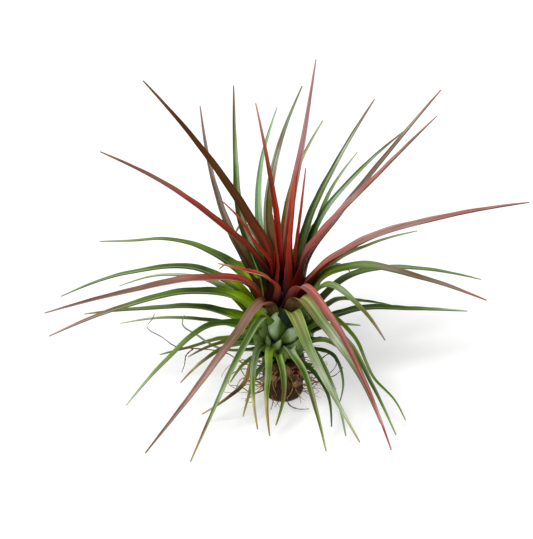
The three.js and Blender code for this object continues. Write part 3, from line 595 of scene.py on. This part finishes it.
def bend_leaf(leaf, row, seed, buried=BURIED, stripes_and_painted_light=()):
    """Bends a straight blade along its midrib, channels and twists it, and paints it, with painted light."""
    width, angle, height, through, turn, upper_tints, under_tints, *foot = row
    draw = chance(seed)
    across, share, side = coordinates(leaf.data).T
    share = share * (1 + buried) - buried
    line, ahead, length = midrib([seat(angle, height), *through], share)
    outward = math.radians(angle)
    tangent = np.array([-math.sin(outward), math.cos(outward), 0])
    sideways = tangent - (ahead @ tangent)[:, None] * ahead
    sideways /= np.linalg.norm(sideways, axis=1)[:, None]
    lift = np.cross(ahead, sideways)
    sway = SWAY * next(draw) * np.sin(2 * math.pi * (share * (1 + next(draw)) + next(draw)))
    twist = np.radians(turn * np.clip(share / TURN_SHARE, 0, 1) + sway * np.clip(share * 3, 0, 1))
    turned = sideways * np.cos(twist)[:, None] + lift * np.sin(twist)[:, None]
    raised = lift * np.cos(twist)[:, None] - sideways * np.sin(twist)[:, None]

    half = (TIP_WIDTH + (width - TIP_WIDTH) * leaf_width(share, *(foot or NARROW_FOOT))) / 2
    foot_fold = FOOT_FOLD * np.exp(-((share / 0.1) ** 2))
    fold = np.radians(FOLD + foot_fold + TIP_FOLD * np.clip(share - 0.5, 0, 1) / 0.5)
    bend = np.sqrt(across**2 + KEEL**2)
    wall = np.arctan(np.tan(fold) * across / bend)
    deep = THICKNESS * (0.42 + 0.58 * (1 - np.clip(share, 0, 1)) ** 0.8)
    deep += 0.5 * np.exp(-((share / 0.07) ** 2))
    drop = (side - 1) / 2 * deep
    ripple = 0.05 * half * np.sin(2 * math.pi * (share * (5 + 3 * next(draw)) + next(draw)))
    out = across * half * np.cos(fold) - drop * np.sin(wall)
    up = half * np.sin(fold) * (bend - KEEL) + drop * np.cos(wall) + ripple * across**2
    place = line + turned * out[:, None] + raised * up[:, None]
    place[:, 2] += HEART
    place_vertices(leaf.data, place * MM)

    upper = colours_along(upper_tints, share)
    # Stripes: the leaf's own bands, with painted shade on one wall and painted highlights along margins
    for middle, reach, tint, strength in stripes_and_painted_light:
        wander = 0.12 * np.sin(5 * share + 20 * middle)
        cover = strength * np.clip(2 - 1.4 * np.abs(across - middle - wander) / reach, 0, 1)
        cover *= np.clip(share * 8, 0, 1) * np.clip((1 - share) * 6, 0, 1)
        upper += cover[:, None] * (linear(tint) - upper)
    under = colours_along(under_tints, share)
    face = np.clip(0.5 + side * 3, 0, 1)[:, None]
    # Painted highlight along the margins, partly their own pale scales, and painted shade down the channel
    margin = PALE_AND_LIT_MARGIN * np.clip((np.abs(across) - 0.84) / 0.1, 0, 1) * np.clip(share * 6, 0, 1)
    channel = CHANNEL_SHADE * np.exp(-((across / 0.24) ** 2))
    upper *= (1 + margin - channel)[:, None]
    colours = upper * face + under * (1 - face)
    colours *= (0.94 + 0.12 * next(draw))
    paint(leaf.data, colours)
    set_flow(leaf.data, across * half, share * length, side)


def bend_root(root, points, thick, tints, seed):
    """Bends a straight tube into a thin root that narrows to its tip."""
    draw = chance(seed)
    across, share, side = coordinates(root.data).T
    line, ahead, length = midrib(points, share)
    sideways = np.stack([ahead[:, 1], -ahead[:, 0], np.zeros(len(ahead))], 1)
    sideways /= np.maximum(np.linalg.norm(sideways, axis=1), 0.001)[:, None]
    lift = np.cross(ahead, sideways)
    shift = next(draw)
    radius = thick * (1 - 0.6 * share) * (1 + 0.18 * np.sin(40 * share + 9 * shift))
    place = line + (sideways * across[:, None] + lift * side[:, None]) * radius[:, None]
    place[:, 2] = np.maximum(place[:, 2] + HEART, 0.1)
    place_vertices(root.data, place * MM)
    paint(root.data, colours_along(tints, share) * (0.8 + 0.4 * next(draw)))
    set_flow(root.data, across * thick, share * length, side)


def turned_body(name, outline, sides):
    """A round body, extruded upwards ring by ring along its outline, in millimetres."""
    deselect()
    radius, height = outline[0]
    bpy.ops.mesh.primitive_circle_add(
        vertices=sides, radius=radius, fill_type="NGON", location=(0, 0, height)
    )
    body = just_made(name)
    bpy.ops.object.transform_apply(location=True, rotation=True, scale=True)
    bpy.ops.object.mode_set(mode="EDIT")
    bpy.ops.mesh.select_all(action="SELECT")
    for wide, top in outline[1:]:
        bpy.ops.mesh.extrude_region_move(TRANSFORM_OT_translate={"value": (0, 0, top - height)})
        bpy.ops.transform.resize(value=(wide / radius, wide / radius, 1))
        radius, height = wide, top
    end_modelling()
    return body


def straight_base(name, segments, rings, shape):
    """One swollen leaf base, standing up: rounded outside, flatter inside, drawn to a point above."""
    deselect()
    bpy.ops.mesh.primitive_uv_sphere_add(segments=segments, ring_count=rings, radius=1)
    base = just_made(name)
    for vertex in base.data.vertices:
        x, y, z = vertex.co
        deep = 1 if y > 0 else BASE_BACK
        vertex.co = (*shape(x, y, z, deep), z * (BASE_POINT if z > 0 else 1))
    bpy.ops.object.shade_smooth()
    return base


def plain_shape(x, y, z, deep):
    """A leaf base that only narrows towards its point."""
    narrow = 1 - 0.55 * max(0, z) ** 1.5
    return x * narrow, y * narrow * deep


def shoot_shape(x, y, z, deep):
    """A base of a shoot's leaf: a narrow foot, full above, with a furrow and a rolled rim."""
    rise = (z + 1) / 2
    full = 0.5 + 0.62 * math.sin(0.5 * math.pi * min(1, rise / 0.62))
    furrow = 0.2 * math.exp(-((x / 0.2) ** 2)) * rise if y > 0 else 0
    rim = 0.5 * max(0, rise - 0.78)
    return x * full, (y - furrow) * full * deep + rim


def set_scale(
    scale, angle, height, width, length, thick, tilt, tints, seed, outline=STEM_OUTLINE, shaded=0.0,
    gap=BASE_SUNK
):
    """Sets a leaf base on the stem at a compass angle and height, leaning by its tilt, with painted shade."""
    draw = chance(seed)
    x, y, z = coordinates(scale.data).T
    tall = 1 + BASE_POINT
    share = np.clip((z + 1) / tall, 0, 1)
    shape = np.stack([x * width / 2, y * thick, z * length / tall], 1)
    lean = math.radians(tilt)
    side = shape[:, 0] * math.cos(lean) + shape[:, 2] * math.sin(lean)
    rise = -shape[:, 0] * math.sin(lean) + shape[:, 2] * math.cos(lean)
    below = np.array(seat(angle, max(height - 3, outline[0][1]), outline))
    above = np.array(seat(angle, min(height + 3, outline[-1][1] - 0.5), outline))
    climb = (above - below) / np.linalg.norm(above - below)
    outward = math.radians(angle)
    tangent = np.array([-math.sin(outward), math.cos(outward), 0])
    proud = np.cross(tangent, climb)
    stem_radius = max(math.hypot(*seat(angle, height, outline)[:2]), 4)
    wrap = -side**2 / (2 * stem_radius)
    centre = np.array(seat(angle, height, outline)) + proud * gap
    place = centre + np.outer(side, tangent) + np.outer(rise, climb)
    place += np.outer(shape[:, 1] + wrap, proud)
    place[:, 2] += HEART
    place_vertices(scale.data, place * MM)
    # Painted shade: darker towards the edges and the foot of each base, and on the side that shaded turns
    # away
    depth = 0.3 + 0.7 * np.clip(y * SHADE_EDGE, 0, 1) * np.clip(0.4 + share * 1.4, 0, 1)
    colours = colours_along(tints, share)
    edge = 0.5 + math.copysign(SHADE_EDGE, shaded) * side / width
    colours += abs(shaded) * np.clip(edge, 0, 1)[:, None] * (linear("deep") - colours)
    paint(scale.data, colours * (depth * (0.9 + 0.2 * next(draw)))[:, None])
    set_flow(scale.data, side, rise, y)


def add_base(parts, model, name, *values, **more):
    """Adds a leaf base, set in its place, to the parts of a piece."""
    parts.append(copy_of(model, name))
    set_scale(parts[-1], *values, **more)


def join(parts, name):
    """Makes one piece of several."""
    deselect()
    for part in parts:
        part.select_set(True)
    bpy.context.view_layer.objects.active = parts[0]
    bpy.ops.object.join()
    whole = just_made(name)
    whole.data.name = name
    return whole


def finish_piece(piece, node, material):
    """Gives a piece its material and lets it stand for its node of the part."""
    piece.data.materials.clear()
    piece.data.materials.append(material)
    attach(piece, "root")
    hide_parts(node)


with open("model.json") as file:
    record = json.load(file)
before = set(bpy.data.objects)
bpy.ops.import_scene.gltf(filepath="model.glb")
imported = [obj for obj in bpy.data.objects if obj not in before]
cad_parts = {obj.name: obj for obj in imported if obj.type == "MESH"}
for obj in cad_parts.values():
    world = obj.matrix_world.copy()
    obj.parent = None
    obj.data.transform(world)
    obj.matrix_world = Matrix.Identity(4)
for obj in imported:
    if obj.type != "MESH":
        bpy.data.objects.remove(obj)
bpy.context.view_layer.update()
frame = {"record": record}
slots = {part["node"]: part["material_slot"] for part in frame["record"]["subparts"]}


# Effects shared by the materials
def feed(tree, socket, value):
    """Sets a node's input to a value, or links it to another node's output."""
    if hasattr(value, "is_output"):
        tree.links.new(value, socket)
    else:
        socket.default_value = value


def add_node(tree, kind, **inputs):
    """A node with its inputs fed by name or, after an underscore, by number."""
    node = tree.nodes.new(kind)
    for name, value in inputs.items():
        feed(tree, node.inputs[int(name[1:]) if name[0] == "_" else name], value)
    return node


def math_node(tree, operation, first, second=0.0, clamp=False):
    node = add_node(tree, "ShaderNodeMath", _0=first, _1=second)
    node.operation = operation
    node.use_clamp = clamp
    return node.outputs[0]


def rising(tree, high, low, gain):
    """How far one value stands over another, times a gain, from 0 to 1."""
    return math_node(tree, "MULTIPLY", math_node(tree, "SUBTRACT", high, low), gain, True)


def mix_colour(tree, share, first, second, blend="MIX"):
    node = tree.nodes.new("ShaderNodeMix")
    node.data_type = "RGBA"
    node.blend_type = blend
    for number, value in ((0, share), (6, first), (7, second)):
        feed(tree, node.inputs[number], value)
    return node.outputs[2]


def stretched_noise(tree, flow, stretch, scale, detail=3.0):
    """Noise drawn out along the surface's own flow."""
    mapping = add_node(tree, "ShaderNodeMapping", Vector=flow, Scale=stretch)
    noise = add_node(tree, "ShaderNodeTexNoise", Vector=mapping.outputs[0], Scale=scale, Detail=detail)
    return noise.outputs["Fac"]


def make_group(name, inputs, outputs):
    """An empty node group with named inputs and outputs."""
    group = bpy.data.node_groups.new(name, "ShaderNodeTree")
    for way, sockets in (("INPUT", inputs), ("OUTPUT", outputs)):
        for label, kind in sockets:
            group.interface.new_socket(name=label, in_out=way, socket_type=kind)
    return group, group.nodes.new("NodeGroupInput"), group.nodes.new("NodeGroupOutput")


def leaf_surface_group():
    """Fine lengthwise veins and a silvery bloom of scales over a leaf's colour."""
    group, given, result = make_group(
        "leaf surface",
        [("Colour", "NodeSocketColor"), ("Flow", "NodeSocketVector"), ("Bloom", "NodeSocketFloat"),
            ("Bloom tint", "NodeSocketColor"), ("Veins", "NodeSocketFloat")],
        [("Colour", "NodeSocketColor"), ("Roughness", "NodeSocketFloat"), ("Height", "NodeSocketFloat")],
    )
    flow = given.outputs["Flow"]
    veins = stretched_noise(group, flow, (1.2, 0.012, 0.3), 1.0, 2.0)
    mottle = stretched_noise(group, flow, (0.5, 0.14, 0.5), 1.0, 4.0)
    scales = stretched_noise(group, flow, (3.4, 1.5, 1), 1.0, 2.0)
    patches = stretched_noise(group, flow, (0.4, 0.09, 0.7), 1.0, 2.0)
    dark = math_node(group, "MULTIPLY", rising(group, 0.5, veins, 7.0), given.outputs["Veins"])
    shaded = mix_colour(group, dark, given.outputs["Colour"], (0.4, 0.4, 0.34, 1), "MULTIPLY")
    pale = math_node(group, "MULTIPLY", rising(group, veins, 0.52, 7.0), given.outputs["Veins"])
    lit = mix_colour(group, 1.0, shaded, (1.7, 1.65, 1.6, 1), "MULTIPLY")
    shaded = mix_colour(group, pale, shaded, lit)
    uneven = math_node(group, "MULTIPLY", math_node(group, "SUBTRACT", mottle, 0.5), 1.6)
    uneven = math_node(group, "ADD", uneven, 1.0)
    tone = add_node(group, "ShaderNodeCombineColor", Red=uneven, Green=uneven, Blue=uneven)
    shaded = mix_colour(group, 0.5, shaded, mix_colour(group, 1.0, shaded, tone.outputs[0], "MULTIPLY"))
    speck = rising(group, scales, 0.47, 5.0)
    patch = rising(group, patches, 0.36, 3.0)
    bloom = math_node(group, "MULTIPLY", math_node(group, "MULTIPLY", speck, patch), given.outputs["Bloom"])
    grey = add_node(group, "ShaderNodeRGBToBW", Color=given.outputs["Colour"])
    bloom = math_node(group, "MULTIPLY", bloom, math_node(group, "MULTIPLY", grey.outputs[0], 5.0, True))
    covered = mix_colour(group, bloom, shaded, given.outputs["Bloom tint"])
    rough = math_node(group, "ADD", math_node(group, "MULTIPLY", bloom, 0.5), 0.45)
    raised = math_node(group, "ADD", veins, math_node(group, "MULTIPLY", scales, 0.35))
    group.links.new(covered, result.inputs["Colour"])
    group.links.new(rough, result.inputs["Roughness"])
    group.links.new(raised, result.inputs["Height"])
    return group


def surface_material(name, group, bloom, bloom_tint, gloss, veins=LEAF_VEINS):
    """A material that reads a piece's own tint and flow through a surface group."""
    material = bpy.data.materials.new(name)
    material.use_nodes = True
    tree = material.node_tree
    shader = tree.nodes["Principled BSDF"]
    surface = tree.nodes.new("ShaderNodeGroup")
    surface.node_tree = group
    surface.inputs["Bloom"].default_value = bloom
    surface.inputs["Bloom tint"].default_value = (*bloom_tint, 1)
    surface.inputs["Veins"].default_value = veins
    for name, output, socket in (("tint", "Color", "Colour"), ("flow", "Vector", "Flow")):
        stored = tree.nodes.new("ShaderNodeAttribute")
        stored.attribute_name = name
        tree.links.new(stored.outputs[output], surface.inputs[socket])
    bump = add_node(tree, "ShaderNodeBump", Strength=0.6, Distance=RELIEF, Height=surface.outputs["Height"])
    tree.links.new(surface.outputs["Colour"], shader.inputs["Base Color"])
    tree.links.new(surface.outputs["Roughness"], shader.inputs["Roughness"])
    tree.links.new(bump.outputs["Normal"], shader.inputs["Normal"])
    shader.inputs["Specular IOR Level"].default_value = gloss
    return material


leaf_surface = leaf_surface_group()
GREEN_BLOOM = (0.42, 0.5, 0.22)
RED_BLOOM = (0.52, 0.34, 0.3)
GREY_BLOOM = (0.45, 0.44, 0.36)
# Each material's bloom, the bloom's colour, its gloss and, where they aren't a leaf's, its veins
surfaces = {
    "red_leaf": (0.16, RED_BLOOM, 0.09),
    "deep_red_leaf": (0.3, RED_BLOOM, 0.1),
    "bronze_leaf": (0.12, RED_BLOOM, 0.12),
    "mauve_leaf": (0.35, GREY_BLOOM, 0.15),
    "pink_leaf": (0.25, RED_BLOOM, 0.12),
    "olive_leaf": (0.3, GREY_BLOOM, 0.15),
    "green_leaf": (0.2, GREEN_BLOOM, 0.17),
    "pale_green_leaf": (0.35, GREEN_BLOOM, 0.17),
    "lime_leaf": (0.12, GREEN_BLOOM, 0.17),
    "dark_green_leaf": (0.15, GREEN_BLOOM, 0.17),
    "stem_green": (0.1, GREEN_BLOOM, 0.15, 0.3),
    "wood": (0.05, GREY_BLOOM, 0.1, 0.7),
}
materials = {slot: surface_material(slot, leaf_surface, *values) for slot, values in surfaces.items()}

# Leaves
blade = straight_tube("straight blade", BLADE_AROUND, BLADE_RINGS)
add_leaf_map(blade)
for number, (key, row) in enumerate(LEAVES.items()):
    node = key.replace(" ", "_leaf_")
    leaf = copy_of(blade, "fine_" + node)
    buried = STEEP_BURIED if node.startswith(("heart", "upper")) else BURIED
    seed = SEEDS["leaf"] + 17 * number
    bend_leaf(leaf, row, seed, buried, STRIPES_AND_PAINTED_LIGHT.get(key, ()))
    finish_piece(leaf, node, materials[slots[node]])

# Stem, with swollen bases in front, sheaths under its lower leaves, and the small leaves
stem = turned_body("stem core", STEM_OUTLINE, 32)
points = coordinates(stem.data)
points[:, :2] *= (0.84 - 0.4 * np.clip((points[:, 2:] + 6) / 14, 0, 1))
points[:, 2] += HEART - 0.5 * np.maximum(points[:, 2], 0)
place_vertices(stem.data, points * MM)
# Painted shade: the core shows only in the gaps between the leaves, so it is painted dark red near the heart
# and very dark green below
core_shade = np.where(points[:, 2:] > HEART - 6, linear("ember"), linear("shade") * 0.6)
paint(stem.data, core_shade)
set_flow(stem.data, *points.T)
stem_parts = [stem]
for number, row in enumerate(SMALL_LEAVES):
    leaf = copy_of(blade, "small leaf")
    bend_leaf(leaf, row, seed=SEEDS["small"] + 13 * number)
    stem_parts.append(leaf)
leaf_base = straight_base("leaf base", 20, 16, plain_shape)
shoot_base = straight_base("shoot leaf base", 24, 18, shoot_shape)
for number, row in enumerate(SWELLINGS):
    shaded = SWELLING_SHADES[number] if number < len(SWELLING_SHADES) else OTHER_SHADE
    seed = SEEDS["swelling"] + number
    add_base(stem_parts, shoot_base, "swollen base", *row, seed=seed, shaded=shaded)
for number, row in enumerate(EARS):
    add_base(stem_parts, leaf_base, "leaf's ear", *row, seed=SEEDS["ear"] + number, gap=EAR_GAP)
for number, (width, angle, height, _, _, _, under_tints, *_) in enumerate(LEAVES.values()):
    in_front = 225 < angle % 360 < 325
    if height > -1 or (in_front and height > -16):
        continue
    tints = "leaf moss fern" if in_front else "sage fern " + under_tints.split()[0]
    drop, length, thick = (3, 9, 2.4) if in_front else (4, 11, 2.2)
    place = (angle, height - drop, width * 1.5, length, thick, 8 * math.sin(5 * number))
    add_base(stem_parts, leaf_base, "sheath", *place, tints, SEEDS["sheath"] + number)
finish_piece(join(stem_parts, "fine_stem"), "stem", materials["stem_green"])

# Root crown with its roots
crown = turned_body("crown core", CROWN_OUTLINE, 48)
points = coordinates(crown.data)
angles = np.arctan2(points[:, 1], points[:, 0])
lumps = 0.5 * np.sin(7 * angles + points[:, 2] / 3) + 0.35 * np.sin(13 * angles - points[:, 2] / 2)
points[:, :2] *= (1 + lumps / 14 * (points[:, 2] > 0.5))[:, None]
place_vertices(crown.data, points * MM)
# Painted shade: the core, mostly hidden under the dried bases and roots, is painted at half the bark's
# brightness
paint(crown.data, np.tile(linear("bark") * 0.5, (len(points), 1)))
set_flow(crown.data, angles * FOOT_RADIUS, points[:, 2], angles)
crown_parts = [crown]
crown_sides = [(radius, height - HEART) for radius, height in CROWN_OUTLINE]
for row, (count, height, length) in enumerate(DRIED_ROWS):
    for number in range(count):
        angle = 360 * (number + 0.5 * (row % 2)) / count
        tints = ("soot bark tan", "bark husk straw", "soot bark husk")[(number + row) % 3]
        lean = 14 * math.sin(7 * number + 3 * row)
        place = (angle, height - HEART, DRIED_WIDTH, length, DRIED_THICK, lean)
        seed = SEEDS["dried"] + 20 * row + number
        add_base(crown_parts, leaf_base, "dried base", *place, tints, seed, crown_sides)
for number in range(BUD_SCALES):
    scale = copy_of(leaf_base, "bud scale")
    ring, turn = divmod(number, BUD_RING)
    around = math.radians(360 / BUD_RING * (turn + ring / 2))
    lean = math.radians(62 - 24 * ring)
    x, y, z = coordinates(scale.data).T
    shape = np.stack([x * 0.9, y * 0.5 + 0.9 + 0.5 * (2 - ring), z * 1.3 + 0.8 * ring], 1)
    out = shape[:, 1] * math.cos(lean) + shape[:, 2] * math.sin(lean) * 0.6
    rise = shape[:, 2] * math.cos(lean) * 0.7 + 0.9 * ring - shape[:, 1] * math.sin(lean) * 0.3
    place = np.stack([
        shape[:, 0] * math.cos(around) - out * math.sin(around),
        -rise,
        shape[:, 0] * math.sin(around) + out * math.cos(around),
    ], 1) * BUD_RADIUS / 2.6 + BUD_PLACE
    place_vertices(scale.data, place * MM)
    paint(scale.data, colours_along("ember wine rose", np.clip((z + 1) / 2, 0, 1)))
    set_flow(scale.data, *shape.T)
    crown_parts.append(scale)
wire = straight_tube("straight root", ROOT_AROUND, ROOT_RINGS)
add_leaf_map(wire)


def root_walk(draw, heading, height, reach, limit):
    """A root's points, stepping outwards from the crown and staying above the floor."""
    x, y = reach * math.cos(heading), reach * math.sin(heading)
    points = [(x, y, height - HEART)]
    while len(points) < 6 and reach < limit:
        heading += 1.5 * (next(draw) - 0.5)
        height = min(20, max(2.5, height + 7 * (next(draw) - 0.55)))
        step = 4 + 2 * next(draw)
        x += step * math.cos(heading)
        y += step * math.sin(heading)
        reach = math.hypot(x, y)
        points.append((x, y, height - HEART))
    return points


draw = chance(7)
walks = []
for number in range(WIRY_ROOTS):
    heading = (number + 0.7 * next(draw)) * 2 * math.pi / WIRY_ROOTS
    height = 5 + 14 * next(draw)
    points = root_walk(draw, heading, height, FOOT_RADIUS - 3, ROOT_REACH)
    walks.append((points, WIRY_THICK, "soot bark@30 husk"))
draw = chance(41)
for number in range(HAIR_ROOTS):
    heading = 2 * math.pi * next(draw)
    height = 3 + 18 * next(draw)
    thin = 0.16 + 0.14 * next(draw)
    tints = ("husk husk tan", "bark husk husk", "soot bark bark")[number % 3]
    walks.append((root_walk(draw, heading, height, FOOT_RADIUS - 1, ROOT_REACH - 2), thin, tints))
for number, (points, thick, tints) in enumerate(LONG_ROOTS + walks):
    root = copy_of(wire, "root")
    bend_root(root, points, thick, tints, seed=SEEDS["root"] + number)
    crown_parts.append(root)
finish_piece(join(crown_parts, "fine_root_crown"), "root_crown", materials["wood"])

for model in (blade, leaf_base, shoot_base, wire):
    bpy.data.objects.remove(model)

# Floor, light and camera
deselect()
bpy.ops.mesh.primitive_plane_add(size=24)
floor = just_made("floor")
pale = bpy.data.materials.new("pale floor")
pale.use_nodes = True
white = pale.node_tree.nodes["Principled BSDF"]
white.inputs["Base Color"].default_value = PALE
white.inputs["Roughness"].default_value = 0.9
white.inputs["Emission Color"].default_value = WHITE
white.inputs["Emission Strength"].default_value = STUDIO_LIGHT
floor.data.materials.append(pale)

world = bpy.data.worlds.new("studio")
bpy.context.scene.world = world
world.use_nodes = True
backdrop = world.node_tree.nodes["Background"]
backdrop.inputs["Color"].default_value = WHITE
backdrop.inputs["Strength"].default_value = STUDIO_LIGHT
bpy.context.scene.view_settings.view_transform = "Standard"

heart = Vector((0, 0, HEART * MM))
bpy.ops.object.light_add(type="SUN", rotation=(math.radians(28), math.radians(-22), 0))
key = just_made("soft key")
key.data.angle = math.radians(26)
key.data.energy = 2.9
bpy.ops.object.light_add(type="AREA", location=(0.9, -0.7, 0.7))
fill = just_made("soft fill")
fill.data.size = 0.8
fill.data.energy = 2
fill.rotation_euler = (heart - fill.location).to_track_quat("-Z", "Y").to_euler()

elevation = math.radians(ELEVATION)
towards = Vector((0, -math.cos(elevation), math.sin(elevation)))
bpy.ops.object.camera_add(location=heart + towards, rotation=(math.radians(90 - ELEVATION), 0, 0))
camera = bpy.context.object
camera.data.lens = FOCAL
camera.data.sensor_width = SENSOR
camera.data.sensor_fit = "HORIZONTAL"
camera.data.shift_x = (PHOTO_WIDTH / 2 - HEART_X) / PHOTO_WIDTH
camera.data.shift_y = (HEART_Y - PHOTO_HEIGHT / 2) / PHOTO_WIDTH
camera.data.clip_start = 0.01
bpy.context.scene.camera = camera
